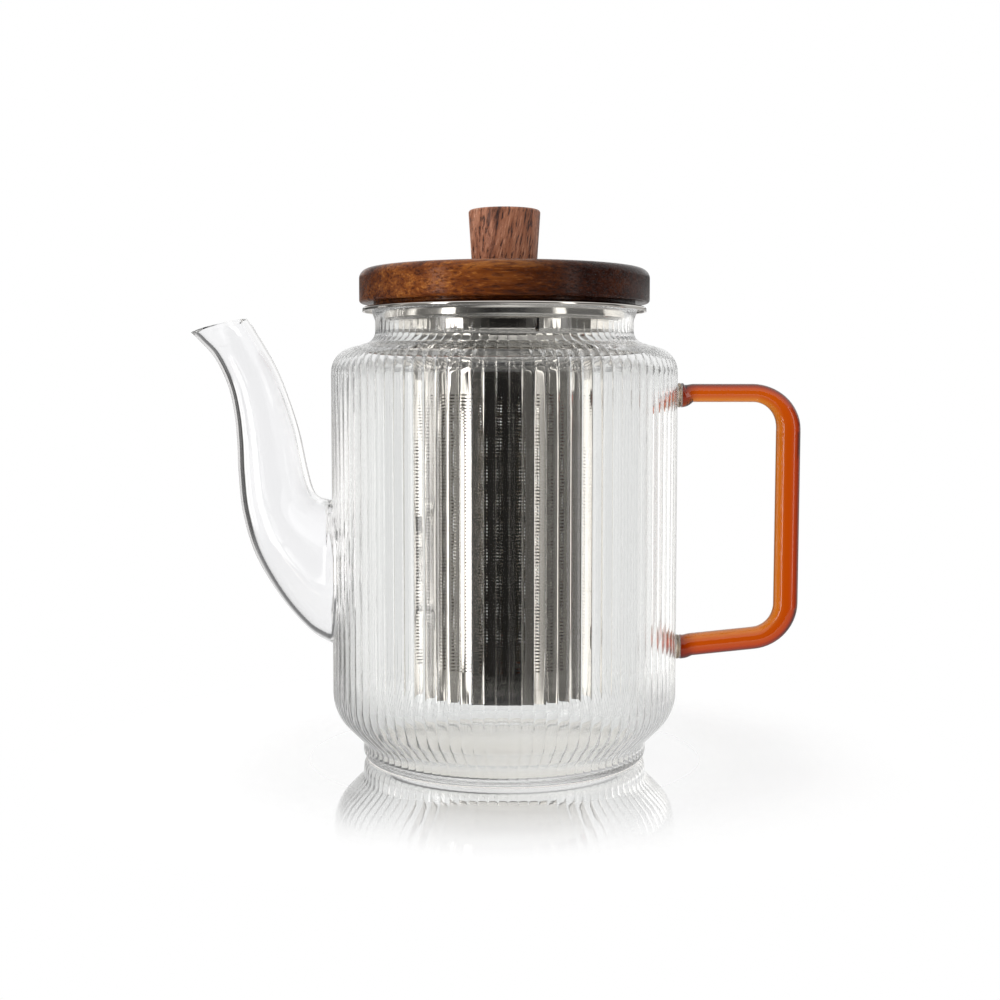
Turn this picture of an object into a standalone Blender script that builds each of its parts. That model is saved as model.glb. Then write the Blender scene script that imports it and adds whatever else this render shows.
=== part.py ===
"""Glass teapot with a steel infuser and a turned wooden lid.

The pot stands on z = 0 with its axis on Z, its handle towards +X and its spout towards -X.
The infuser hangs from the rim of the glass, and the lid sits in the cup of the infuser.
All lengths are in metres.
"""

import math

import bmesh
import bpy
from mathutils import Vector

# Clearances and facets
GAP = 0.0003  # between pieces that touch on the real object
TURN_STEPS = 40  # facets round a turned piece
SMALL_TURN_STEPS = 24  # facets round the knob, the pads and the screw
ARC_STEPS = 3  # segments of a rounded corner
BEND_STEPS = 7  # segments of a bend in the handle
SPAN_STEPS = 2  # segments between two sections of the spout
SPOUT_SIDES = 22
ROD_BEVEL_RESOLUTION = 5

# Glass pot, top to bottom
BODY_RADIUS = 0.055
BODY_WALL = 0.0022
RIM_HEIGHT = 0.143
RIM_RADIUS = 0.0423
LIP_DEPTH = 0.0034  # height of the flared lip above the neck
LIP_FILLET = 0.003  # where the lip leaves the neck
RIM_ROUNDING = 0.45  # share of the wall taken by the rounding of each edge of the rim
NECK_RADIUS = 0.041
NECK_BASE_HEIGHT = 0.1333
NECK_FILLET = 0.006
SHOULDER_HEIGHT = 0.1293
SHOULDER_FILLET = 0.008
HEEL_HEIGHT = 0.0155  # where the straight side would meet the cove above the foot
HEEL_FILLET = 0.014
FOOT_RADIUS = 0.0454
FOOT_HEIGHT = 0.0059
COVE_FILLET = 0.004
FOOT_FILLET = 0.0038

# Spout, from its mouth to its root on the pot. The upper and lower edges are given by
# their reach from the side of the pot and their height.
SPOUT_WALL = 0.0019
SPOUT_WELD = 0.006  # thickness of the glass where the spout is fused on
PORT_RADIUS = 0.013  # hole in the side of the pot behind the spout
PORT_CUTTER_LENGTH = 0.018
SPOUT_SECTIONS = (
    # upper reach, upper height, lower reach, lower height, half width
    (0.0270, 0.1403, 0.0446, 0.1359, 0.0090),
    (0.0258, 0.1388, 0.0418, 0.1332, 0.0082),
    (0.0241, 0.1362, 0.0370, 0.1276, 0.0077),
    (0.0178, 0.1251, 0.0330, 0.1189, 0.0082),
    (0.0135, 0.1141, 0.0311, 0.1099, 0.0091),
    (0.0103, 0.1035, 0.0303, 0.1005, 0.0101),
    (0.0082, 0.0932, 0.0300, 0.0908, 0.0110),
    (0.0062, 0.0858, 0.0287, 0.0784, 0.0118),
    (0.0040, 0.0834, 0.0245, 0.0645, 0.0132),
    (0.0018, 0.0828, 0.0160, 0.0505, 0.0150),
    (0.0006, 0.0826, 0.0070, 0.0405, 0.0166),
    (0.0000, 0.0825, 0.0000, 0.0363, 0.0180),
)

# Handle: a bent rod of amber glass on two clear pads
ROD_RADIUS_TOP = 0.0029
ROD_RADIUS_GRIP = 0.0039
ROD_RADIUS_BOTTOM = 0.0036
ROD_END_RADIUS = 0.0039  # where the rod is fused to its pads
ROD_END_TAPER = 0.0032  # length over which each end widens
ROD_END_SAG = 0.0007  # each end sits this much lower than its bar
ROD_BEND_RADIUS = 0.0115
HANDLE_TOP_HEIGHT = 0.1168
HANDLE_BOTTOM_HEIGHT = 0.0358
HANDLE_BOTTOM_RISE = 0.0032  # the lower bar rises this much from the pot to the grip
HANDLE_REACH = 0.036  # from the side of the pot to the middle of the grip, at the top
GRIP_LEAN = 0.0003  # the grip leans in this much towards its lower end
PAD_RADIUS = 0.0039
PAD_THICKNESS = 0.001
PAD_EDGE = 0.0003

# Infuser, pressed and rolled from steel sheet
SHEET = 0.0005
FLANGE_OVERHANG = 0.0027  # of the flange past the glass rim
FLANGE_CURL = 0.0009  # depth of its turned-down edge
NECK_CLEARANCE = 0.0005  # between the cup and the neck of the glass
CUP_DEPTH = 0.0043
CUP_FILLET = 0.0015
COLLAR_STEP = 0.0043  # from the cup's radius in to the collar's
COLLAR_DEPTH = 0.0064
COLLAR_FILLET = 0.001
SLEEVE_STEP = 0.0046  # from the collar's radius in to the sleeve's
SLEEVE_TAIL = 0.0007  # stands up through the collar
SLEEVE_BOTTOM_HEIGHT = 0.0218
BASE_RECESS = 0.0004
BASE_SKIRT = 0.0025  # height of the base's turned-up edge
BASE_FILLET = 0.0008

# Lid and knob
LID_OVERHANG = 0.001  # of the lid past the flange
LID_THICKNESS = 0.0107
LID_TOP_FILLET = 0.003
LID_BOTTOM_FILLET = 0.001
LID_STEP = 0.0009  # height of the seating step under the lid
LID_STEP_INSET = 0.0018
PLUG_DEPTH = 0.0036
PLUG_LIP = 0.0008  # thickness of the lip that keeps the seal ring on the plug
PLUG_LIP_WIDTH = 0.0012
SEAL_WIDTH = 0.003  # radial
SEAL_FIN = 0.0009  # how far each fin stands out
SEAL_BANDS = 5  # equal bands of the ring's height: a fin on every second one
KNOB_BASE_RADIUS = 0.01025
KNOB_TOP_RADIUS = 0.0115
KNOB_HEIGHT = 0.0185
KNOB_FILLET = 0.0009
KNOB_BASE_FILLET = 0.0003
SCREW_RADIUS = 0.00175
SCREW_HEAD_RADIUS = 0.0038
SCREW_HEAD_HEIGHT = 0.0022
SCREW_HEAD_FILLET = 0.00055
SCREW_GRIP = 0.0115  # length of the screw inside the knob
SCREW_POINT = 0.002
SLOT_LENGTH = 0.0046
SLOT_WIDTH = 0.0009
SLOT_DEPTH = 0.0011

# Sizes that follow from the ones above
RIM_FILLET = RIM_ROUNDING * BODY_WALL
CUP_RADIUS = NECK_RADIUS - BODY_WALL - NECK_CLEARANCE
FLANGE_RADIUS = RIM_RADIUS + FLANGE_OVERHANG
COLLAR_RADIUS = CUP_RADIUS - COLLAR_STEP
SLEEVE_RADIUS = COLLAR_RADIUS - SLEEVE_STEP
INFUSER_SEAT = RIM_HEIGHT + GAP
LID_SEAT = INFUSER_SEAT + SHEET + GAP
LID_RADIUS = FLANGE_RADIUS + LID_OVERHANG
SEAL_RADIUS = CUP_RADIUS - SHEET - GAP
PLUG_RADIUS = SEAL_RADIUS - SEAL_WIDTH - GAP
KNOB_SEAT = LID_SEAT + LID_STEP + LID_THICKNESS + GAP
SCREW_HOLE_RADIUS = SCREW_RADIUS + GAP
PORT_HEIGHT = (SPOUT_SECTIONS[-1][1] + SPOUT_SECTIONS[-1][3]) / 2


def cleared_scene():
    """Removes every object and returns the collections for the pieces and the cutters."""
    for obj in list(bpy.data.objects):
        bpy.data.objects.remove(obj, do_unlink=True)
    collections = []
    for name in ("glass_teapot", "cutters"):
        collection = bpy.data.collections.new(name)
        bpy.context.scene.collection.children.link(collection)
        collections.append(collection)
    return collections


PIECES, CUTTERS = cleared_scene()


def finish(name, color, roughness, metallic=0.0, transmission=0.0):
    """A plain material for one piece."""
    material = bpy.data.materials.new(name)
    material.use_nodes = True
    shader = material.node_tree.nodes["Principled BSDF"]
    shader.inputs["Base Color"].default_value = (*color, 1.0)
    shader.inputs["Roughness"].default_value = roughness
    shader.inputs["Metallic"].default_value = metallic
    shader.inputs["Transmission Weight"].default_value = transmission
    return material


CLEAR_GLASS = (0.90, 0.94, 0.93)
AMBER_GLASS = (0.80, 0.22, 0.02)
STEEL = (0.62, 0.61, 0.60)
WALNUT = (0.17, 0.06, 0.025)
LIGHT_WALNUT = (0.26, 0.12, 0.08)


def added(name, data, material, parent=None, location=(0, 0, 0), collection=None):
    """A new object with this data and material, placed under its parent."""
    obj = bpy.data.objects.new(name, data)
    (collection or PIECES).objects.link(obj)
    if material:
        data.materials.append(material)
    obj.parent = parent
    obj.location = location
    return obj


def group(name, height):
    """An empty on the pot's axis, which carries the pieces that move together."""
    empty = bpy.data.objects.new(name, None)
    PIECES.objects.link(empty)
    empty.location.z = height
    return empty


def rounded(corners, closed=False, steps=ARC_STEPS):
    """The line through (x, z, fillet) corners, with an arc in place of each filleted corner."""
    points = []
    last = len(corners) - 1
    for i, (x, z, fillet) in enumerate(corners):
        corner = Vector((x, z))
        if not fillet or (not closed and i in (0, last)):
            points.append(corner)
            continue
        to_previous = Vector(corners[i - 1][:2]) - corner
        to_next = Vector(corners[(i + 1) % len(corners)][:2]) - corner
        half_angle = to_previous.angle(to_next) / 2
        tangent = min(fillet / math.tan(half_angle), 0.49 * min(to_previous.length, to_next.length))
        radius = tangent * math.tan(half_angle)
        middle = (to_previous.normalized() + to_next.normalized()).normalized()
        centre = corner + middle * radius / math.sin(half_angle)
        start = corner + to_previous.normalized() * tangent - centre
        end = corner + to_next.normalized() * tangent - centre
        sweep = start.angle_signed(end)
        for step in range(steps + 1):
            turn = -sweep * step / steps
            cos, sin = math.cos(turn), math.sin(turn)
            arm = Vector((start.x * cos - start.y * sin, start.x * sin + start.y * cos))
            points.append(centre + arm)
    return points


def inset(corners, wall):
    """The corners of the line that lies inside this one by the wall, with its arcs concentric."""
    spots = [Vector(corner[:2]) for corner in corners]
    normals = []
    for a, b in zip(spots, spots[1:]):
        along = (b - a).normalized()
        normals.append(Vector((along.y, -along.x)))
    result = [(*(spots[0] + normals[0] * wall), corners[0][2])]
    for i in range(1, len(spots) - 1):
        before, after = normals[i - 1], normals[i]
        shift = (before + after) * wall / (1 + before.dot(after))
        bend = before.x * after.y - before.y * after.x
        fillet = corners[i][2]
        if fillet:
            fillet = max(fillet + math.copysign(wall, bend), 0)
        result.append((*(spots[i] + shift), fillet))
    result.append((*(spots[-1] + normals[-1] * wall), corners[-1][2]))
    return result


def line_mesh(name, points, closed):
    mesh = bpy.data.meshes.new(name)
    edges = [(i, i + 1) for i in range(len(points) - 1)]
    if closed:
        edges.append((len(points) - 1, 0))
    mesh.from_pydata([(p.x, 0, p.y) for p in points], edges, [])
    return mesh


def turned(name, points, material, closed=False, steps=TURN_STEPS, **place):
    """A piece turned about Z from a line that runs down its outer side."""
    obj = added(name, line_mesh(name, points, closed), material, **place)
    screw = obj.modifiers.new("turn", "SCREW")
    screw.axis = "Z"
    screw.steps = steps
    screw.render_steps = steps
    screw.use_merge_vertices = True
    screw.merge_threshold = 1e-5
    return obj


def pressed(name, points, material, **place):
    """A piece of steel sheet, turned from the middle line of the sheet."""
    obj = turned(name, points, material, **place)
    sheet = obj.modifiers.new("sheet", "SOLIDIFY")
    sheet.thickness = SHEET
    sheet.offset = 0
    sheet.use_even_offset = True
    return obj


def cut(obj, cutter):
    cutter.hide_render = True
    cutter.display_type = "WIRE"
    boolean = obj.modifiers.new("cut_" + cutter.name, "BOOLEAN")
    boolean.operation = "DIFFERENCE"
    boolean.solver = "EXACT"
    boolean.object = cutter


def rod_mesh(name, radius, length, sides=SMALL_TURN_STEPS):
    """A cylinder along X, centred on its origin."""
    mesh = bpy.data.meshes.new(name)
    form = bmesh.new()
    bmesh.ops.create_cone(
        form, cap_ends=True, segments=sides, radius1=radius, radius2=radius, depth=length
    )
    for vertex in form.verts:
        vertex.co = (vertex.co.z, vertex.co.y, -vertex.co.x)
    form.to_mesh(mesh)
    form.free()
    return mesh


def glass_body():
    """The blown pot: one wall from the foot over the shoulder to the flared lip."""
    outer = (
        (RIM_RADIUS, RIM_HEIGHT, RIM_FILLET),
        (NECK_RADIUS, RIM_HEIGHT - LIP_DEPTH, LIP_FILLET),
        (NECK_RADIUS, NECK_BASE_HEIGHT, NECK_FILLET),
        (BODY_RADIUS, SHOULDER_HEIGHT, SHOULDER_FILLET),
        (BODY_RADIUS, HEEL_HEIGHT, HEEL_FILLET),
        (FOOT_RADIUS, FOOT_HEIGHT, COVE_FILLET),
        (FOOT_RADIUS, 0, FOOT_FILLET),
        (0, 0, 0),
    )
    inner = inset(outer, BODY_WALL)
    inner[0] = (inner[0][0], RIM_HEIGHT, RIM_FILLET)
    profile = rounded([*reversed(inner), *outer])
    body = turned("glass_body", profile, finish("body_glass", CLEAR_GLASS, 0.02, 0, 1))
    port = added(
        "port_cutter",
        rod_mesh("port_cutter", PORT_RADIUS, PORT_CUTTER_LENGTH),
        None,
        location=(BODY_WALL / 2 - BODY_RADIUS, 0, PORT_HEIGHT),
        collection=CUTTERS,
    )
    cut(body, port)


def between(knots, steps):
    """Rows of numbers along a smooth line (Catmull-Rom) through the rows given."""
    rows = []
    for i in range(len(knots) - 1):
        a = knots[max(i - 1, 0)]
        b, c = knots[i], knots[i + 1]
        d = knots[min(i + 2, len(knots) - 1)]
        for step in range(steps):
            t = step / steps
            rows.append(
                tuple(
                    q
                    + t * (r - p) / 2
                    + t * t * (p - 2.5 * q + 2 * r - s / 2)
                    + t * t * t * (-p + 3 * q - 3 * r + s) / 2
                    for p, q, r, s in zip(a, b, c, d)
                )
            )
    rows.append(tuple(knots[-1]))
    return rows


def spout_ring(section, wall):
    """One oval section of the spout, drawn in from its edges by the wall."""
    upper = Vector((-BODY_RADIUS - section[0], section[1]))
    lower = Vector((-BODY_RADIUS - section[2], section[3]))
    half = (upper - lower) / 2
    half -= half.normalized() * wall
    middle = (upper + lower) / 2
    ring = []
    for i in range(SPOUT_SIDES):
        turn = math.tau * i / SPOUT_SIDES
        spot = middle + half * math.cos(turn)
        ring.append(Vector((spot.x, (section[4] - wall) * math.sin(turn), spot.y)))
    return ring


def on_pot(ring):
    """The ring laid on the round side of the pot, clear of it by the gap."""
    reach = BODY_RADIUS + GAP
    return [Vector((-math.sqrt(reach**2 - p.y**2), p.y, p.z)) for p in ring]


def spout():
    """The S-shaped tube, open at its mouth and over the port in the pot."""
    sections = between(SPOUT_SECTIONS, SPAN_STEPS)
    thick_from = len(sections) - 3 * SPAN_STEPS
    walls = []
    for i in range(len(sections)):
        share = max(0, i - thick_from) / (len(sections) - 1 - thick_from)
        walls.append(SPOUT_WALL + (SPOUT_WELD - SPOUT_WALL) * share**2)
    outer = [spout_ring(section, 0) for section in sections]
    inner = [spout_ring(section, wall) for section, wall in zip(sections, walls)]
    rings = outer[:-1] + [on_pot(outer[-1]), on_pot(inner[-1])] + inner[-2::-1]
    mesh = bpy.data.meshes.new("spout")
    form = bmesh.new()
    loops = [[form.verts.new(point) for point in ring] for ring in rings]
    for i, here in enumerate(loops):
        after = loops[(i + 1) % len(loops)]
        for j in range(SPOUT_SIDES):
            k = (j + 1) % SPOUT_SIDES
            form.faces.new((here[j], here[k], after[k], after[j]))
    bmesh.ops.recalc_face_normals(form, faces=form.faces)
    form.to_mesh(mesh)
    form.free()
    mesh.shade_smooth()
    added("spout", mesh, finish("spout_glass", CLEAR_GLASS, 0.02, 0, 1))


def smooth_step(value, start, end):
    share = min(max((value - start) / (end - start), 0), 1)
    return share * share * (3 - 2 * share)


def rod_radius(travelled, total):
    """Radius of the handle's rod at a distance from its upper end."""
    bends = ROD_BEND_RADIUS * math.pi / 2
    top_end = HANDLE_REACH - ROD_BEND_RADIUS
    bottom_start = total - top_end
    radius = ROD_RADIUS_TOP
    radius += (ROD_RADIUS_GRIP - ROD_RADIUS_TOP) * smooth_step(travelled, top_end, top_end + bends)
    radius += (ROD_RADIUS_BOTTOM - ROD_RADIUS_GRIP) * smooth_step(
        travelled, bottom_start - bends, bottom_start
    )
    from_end = min(travelled, total - travelled)
    return radius + (ROD_END_RADIUS - radius) * (1 - smooth_step(from_end, 0, ROD_END_TAPER))


def handle():
    """The amber rod, bent twice, that ends on the pads."""
    start = BODY_RADIUS + 2 * GAP + PAD_THICKNESS
    grip = BODY_RADIUS + HANDLE_REACH
    corner_height = HANDLE_BOTTOM_HEIGHT + HANDLE_BOTTOM_RISE
    slope = HANDLE_BOTTOM_RISE / (grip - start)
    corners = (
        (start, HANDLE_TOP_HEIGHT - ROD_END_SAG, 0),
        (start + ROD_END_TAPER / 3, HANDLE_TOP_HEIGHT - ROD_END_SAG, 0),
        (start + ROD_END_TAPER, HANDLE_TOP_HEIGHT, 0),
        (grip, HANDLE_TOP_HEIGHT, ROD_BEND_RADIUS),
        (grip - GRIP_LEAN, corner_height, ROD_BEND_RADIUS),
        (start + ROD_END_TAPER, HANDLE_BOTTOM_HEIGHT + slope * ROD_END_TAPER / 2, 0),
        (start + ROD_END_TAPER / 3, HANDLE_BOTTOM_HEIGHT - ROD_END_SAG, 0),
        (start, HANDLE_BOTTOM_HEIGHT - ROD_END_SAG, 0),
    )
    path = rounded(corners, steps=BEND_STEPS)
    travelled = [0.0]
    for a, b in zip(path, path[1:]):
        travelled.append(travelled[-1] + (b - a).length)
    curve = bpy.data.curves.new("handle", "CURVE")
    curve.dimensions = "3D"
    curve.bevel_depth = ROD_END_RADIUS
    curve.bevel_resolution = ROD_BEVEL_RESOLUTION
    curve.use_fill_caps = True
    spline = curve.splines.new("POLY")
    spline.points.add(len(path) - 1)
    for point, spot, distance in zip(spline.points, path, travelled):
        point.co = (spot.x, 0, spot.y, 1)
        point.radius = rod_radius(distance, travelled[-1]) / ROD_END_RADIUS
    added("handle", curve, finish("amber_glass", AMBER_GLASS, 0.03, 0, 1))


def handle_pads():
    """The clear discs between the pot and the ends of the rod."""
    material = finish("pad_glass", CLEAR_GLASS, 0.02, 0, 1)
    middle = BODY_RADIUS + GAP + PAD_THICKNESS / 2
    places = (("handle_pad_upper", HANDLE_TOP_HEIGHT), ("handle_pad_lower", HANDLE_BOTTOM_HEIGHT))
    for name, height in places:
        mesh = rod_mesh(name, PAD_RADIUS, PAD_THICKNESS)
        pad = added(name, mesh, material, location=(middle, 0, height - ROD_END_SAG))
        edge = pad.modifiers.new("edge", "BEVEL")
        edge.width = PAD_EDGE
        edge.segments = 2


def infuser(carrier):
    """The rim that hangs on the glass, the collar, the sleeve and its base."""
    steel = finish("polished_steel", STEEL, 0.08, 1)
    half = SHEET / 2
    cup_line = CUP_RADIUS - half
    floor = half - CUP_DEPTH
    flange = (
        (FLANGE_RADIUS - half, -FLANGE_CURL, 0),
        (FLANGE_RADIUS - half, half, 2 * half),
        (cup_line, half, 2 * half),
        (cup_line, floor, CUP_FILLET),
        (COLLAR_RADIUS + GAP, floor, 0),
    )
    pressed("infuser_rim", rounded(flange), steel, parent=carrier)

    collar_line = COLLAR_RADIUS - half
    collar_bottom = floor - COLLAR_DEPTH
    collar = (
        (collar_line, floor + half, 0),
        (collar_line, collar_bottom, COLLAR_FILLET),
        (SLEEVE_RADIUS + GAP, collar_bottom, 0),
    )
    pressed("infuser_collar", rounded(collar), steel, parent=carrier)

    sleeve_line = SLEEVE_RADIUS - half
    sleeve_bottom = SLEEVE_BOTTOM_HEIGHT - INFUSER_SEAT
    sleeve = (
        (sleeve_line, collar_bottom + half + SLEEVE_TAIL, 0),
        (sleeve_line, sleeve_bottom, 0),
    )
    pressed("infuser_sleeve", rounded(sleeve), steel, parent=carrier)

    base_line = SLEEVE_RADIUS - SHEET - GAP - half
    base_height = sleeve_bottom + BASE_RECESS + half
    base = (
        (base_line, base_height + BASE_SKIRT, 0),
        (base_line, base_height, BASE_FILLET),
        (0, base_height, 0),
    )
    pressed("infuser_base", rounded(base), steel, parent=carrier)


def lid_disc(carrier):
    """The wooden disc, its seating step, and the plug that carries the seal ring."""
    top = LID_STEP + LID_THICKNESS
    recess_radius = SCREW_HEAD_RADIUS + GAP
    recess_top = GAP + SCREW_HEAD_HEIGHT - PLUG_DEPTH
    step_radius = LID_RADIUS - LID_STEP_INSET
    profile = (
        (SCREW_HOLE_RADIUS, top, 0),
        (LID_RADIUS, top, LID_TOP_FILLET),
        (LID_RADIUS, LID_STEP, LID_BOTTOM_FILLET),
        (step_radius, LID_STEP, 0),
        (step_radius, 0, 0),
        (PLUG_RADIUS, 0, 0),
        (PLUG_RADIUS, PLUG_LIP - PLUG_DEPTH, 0),
        (PLUG_RADIUS + PLUG_LIP_WIDTH, PLUG_LIP - PLUG_DEPTH, 0),
        (PLUG_RADIUS + PLUG_LIP_WIDTH, -PLUG_DEPTH, 0),
        (recess_radius, -PLUG_DEPTH, 0),
        (recess_radius, recess_top, 0),
        (SCREW_HOLE_RADIUS, recess_top, 0),
    )
    material = finish("walnut", WALNUT, 0.25)
    turned("lid_disc", rounded(profile, closed=True), material, closed=True, parent=carrier)


def lid_seal_ring(carrier):
    """The silicone ring round the plug, with two fins that press on the cup."""
    top = -GAP
    bottom = PLUG_LIP - PLUG_DEPTH + GAP
    inside = PLUG_RADIUS + GAP
    root = SEAL_RADIUS - SEAL_FIN
    fin = (top - bottom) / SEAL_BANDS
    profile = [(inside, top, 0), (root, top, 0)]
    for band in range(1, SEAL_BANDS, 2):
        edge = top - band * fin
        profile += [(root, edge, 0), (SEAL_RADIUS, edge, 0)]
        profile += [(SEAL_RADIUS, edge - fin, 0), (root, edge - fin, 0)]
    profile += [(root, bottom, 0), (inside, bottom, 0)]
    material = finish("seal_silicone", (0.06, 0.05, 0.05), 0.55)
    turned("lid_seal_ring", rounded(profile), material, closed=True, parent=carrier)


def lid_knob(carrier):
    """The tapered knob, wider at its top, with a blind hole for its screw."""
    seat = KNOB_SEAT - LID_SEAT
    profile = (
        (0, KNOB_HEIGHT, 0),
        (KNOB_TOP_RADIUS, KNOB_HEIGHT, KNOB_FILLET),
        (KNOB_BASE_RADIUS, 0, KNOB_BASE_FILLET),
        (SCREW_HOLE_RADIUS, 0, 0),
        (SCREW_HOLE_RADIUS, SCREW_GRIP, 0),
        (0, SCREW_GRIP, 0),
    )
    turned(
        "lid_knob",
        rounded(profile),
        finish("light_walnut", LIGHT_WALNUT, 0.45),
        steps=SMALL_TURN_STEPS,
        parent=carrier,
        location=(0, 0, seat),
    )


def knob_screw(carrier):
    """The pan-head screw that holds the knob from beneath the lid."""
    head_bottom = -PLUG_DEPTH
    head_top = head_bottom + SCREW_HEAD_HEIGHT
    tip = KNOB_SEAT - LID_SEAT + SCREW_GRIP - GAP
    profile = (
        (0, tip, 0),
        (SCREW_RADIUS, tip - SCREW_POINT, 0),
        (SCREW_RADIUS, head_top, 0),
        (SCREW_HEAD_RADIUS, head_top, 0),
        (SCREW_HEAD_RADIUS, head_bottom, SCREW_HEAD_FILLET),
        (0, head_bottom, 0),
    )
    screw = turned(
        "knob_screw",
        rounded(profile),
        finish("screw_steel", STEEL, 0.3, 1),
        steps=SMALL_TURN_STEPS,
        parent=carrier,
    )
    for name, turn in (("slot_cutter_x", 0), ("slot_cutter_y", math.pi / 2)):
        mesh = bpy.data.meshes.new(name)
        form = bmesh.new()
        bmesh.ops.create_cube(form, size=1)
        size = (SLOT_LENGTH, SLOT_WIDTH, 2 * SLOT_DEPTH)
        bmesh.ops.scale(form, vec=size, verts=form.verts)
        form.to_mesh(mesh)
        form.free()
        place = {"parent": carrier, "location": (0, 0, head_bottom), "collection": CUTTERS}
        slot = added(name, mesh, None, **place)
        slot.rotation_euler.z = turn
        cut(screw, slot)


def teapot():
    glass_body()
    spout()
    handle()
    handle_pads()
    infuser(group("infuser", INFUSER_SEAT))
    lid = group("lid", LID_SEAT)
    lid_disc(lid)
    lid_seal_ring(lid)
    lid_knob(lid)
    knob_screw(lid)


teapot()
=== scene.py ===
"""Looks of the glass teapot: ribbed clear glass, a pierced steel infuser and a walnut lid.

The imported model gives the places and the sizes. Lengths are in metres and +Z is up. The pot
stands at the origin with its handle towards +X, its spout towards -X and its front at -Y.
"""

import math

import bmesh
import bpy
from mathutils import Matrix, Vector


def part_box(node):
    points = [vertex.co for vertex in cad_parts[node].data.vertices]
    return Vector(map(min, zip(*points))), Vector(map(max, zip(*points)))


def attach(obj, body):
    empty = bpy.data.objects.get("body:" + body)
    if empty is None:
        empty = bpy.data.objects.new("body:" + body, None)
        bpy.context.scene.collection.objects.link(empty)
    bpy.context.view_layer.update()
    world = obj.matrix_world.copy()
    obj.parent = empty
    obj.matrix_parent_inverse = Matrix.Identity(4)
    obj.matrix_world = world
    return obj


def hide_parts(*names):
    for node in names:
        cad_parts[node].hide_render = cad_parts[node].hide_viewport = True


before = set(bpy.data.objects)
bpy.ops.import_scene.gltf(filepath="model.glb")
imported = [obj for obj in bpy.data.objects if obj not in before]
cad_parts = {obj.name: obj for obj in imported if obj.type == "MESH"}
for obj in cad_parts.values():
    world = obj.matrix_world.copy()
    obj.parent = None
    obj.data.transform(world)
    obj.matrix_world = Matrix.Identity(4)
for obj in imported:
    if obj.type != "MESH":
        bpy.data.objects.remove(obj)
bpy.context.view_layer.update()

# ---- Sizes. Overall sizes are read from the imported model, and fine ones are named here.


def reach(node):
    """Outer radius of a node that is turned about Z."""
    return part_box(node)[1].x


def top(node):
    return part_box(node)[1].z


def bottom(node):
    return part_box(node)[0].z


BODY_RADIUS = reach("glass_body")
RIM_HEIGHT = top("glass_body")
BODY_WALL = 0.0022
RIM_RADIUS = 0.0423
RIM_FILLET = 0.00099
LIP_DEPTH = 0.0034
LIP_FILLET = 0.003
NECK_RADIUS = 0.041
NECK_BASE_HEIGHT = 0.1333
NECK_FILLET = 0.006
SHOULDER_HEIGHT = 0.1293
SHOULDER_FILLET = 0.008
NECK_BASE_INSIDE = (0.129, 0.003)  # height and fillet: the glass is thick at the neck's root
SHOULDER_INSIDE = (0.1275, 0.006)
HEEL_HEIGHT = 0.0155
HEEL_FILLET = 0.014
FOOT_RADIUS = 0.0454
FOOT_HEIGHT = 0.0059
COVE_FILLET = 0.004
FOOT_FILLET = 0.0038
FOOT_RING_WIDTH = 0.004  # the flat ring that the pot stands on
PUSH_UP = 0.0006  # height of the hollow under the base

PORT_RADIUS = 0.013  # of the opening behind the spout
PORT_HEIGHT = 0.0594
PORT_SIDES = 72

RIB_COUNT = 96
RIB_DEPTH = 0.00005  # of the domes between two valleys
RIB_VALLEY = 0.05  # roundness of the valleys, where 0 is a knife cut
RIB_GROOVE = 0.00007  # depth of the fine groove along each valley
RIB_GROOVE_WIDTH = 0.13
RIB_SWELL = 2.4  # times that the ribs are deeper on the shoulder and the heel
RIB_PHASE = 1.25  # bearing of one valley from the front, in degrees towards the handle
RIB_STEPS = (0, 0.02, 0.05, 0.1, 0.22, 0.4, 0.6, 0.78, 0.9, 0.95, 0.98)  # facets across one rib
RIB_TOP = RIM_HEIGHT - LIP_DEPTH - 0.0003  # the ribs end just under the lip
RIB_TOP_FADE = 0.0025  # height over which they fade out there
RIB_FOOT = 0.0008
RIB_FOOT_FADE = 0.003
SWELL_WALL_FADE = 0.008  # height over which the ribs swell above and below the upright wall
SWELL_NECK_FADE = (0.004, -0.002)  # from here to here about the neck's base, they shrink again

OUTER_ARC_STEP = 0.0013  # longest chords of the pot's rounded corners
INNER_ARC_STEP = 0.0022
OUTER_LINE_STEP = 0.012  # longest facets of its straight walls
INNER_LINE_STEP = 0.016

SPOUT_WALL = 0.0019
SPOUT_WELD = 0.003  # the wall where the spout is fused to the pot
SPOUT_WELD_SPANS = 3  # spans of sections over which the wall thickens
SPOUT_SIDES = 72
SPOUT_SPAN_STEPS = 8
SPOUT_SECTIONS = (
    # upper reach, upper height, lower reach, lower height, half width
    (0.0270, 0.1403, 0.0446, 0.1359, 0.0090),
    (0.0258, 0.1388, 0.0418, 0.1332, 0.0082),
    (0.0241, 0.1362, 0.0370, 0.1276, 0.0077),
    (0.0178, 0.1251, 0.0330, 0.1189, 0.0082),
    (0.0135, 0.1141, 0.0311, 0.1099, 0.0091),
    (0.0103, 0.1035, 0.0303, 0.1005, 0.0101),
    (0.0082, 0.0932, 0.0300, 0.0908, 0.0110),
    (0.0062, 0.0858, 0.0287, 0.0784, 0.0118),
    (0.0040, 0.0834, 0.0245, 0.0645, 0.0132),
    (0.0018, 0.0828, 0.0160, 0.0505, 0.0150),
    (0.0006, 0.0826, 0.0070, 0.0405, 0.0166),
    (0.0000, 0.0825, 0.0000, 0.0363, 0.0180),
)

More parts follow.
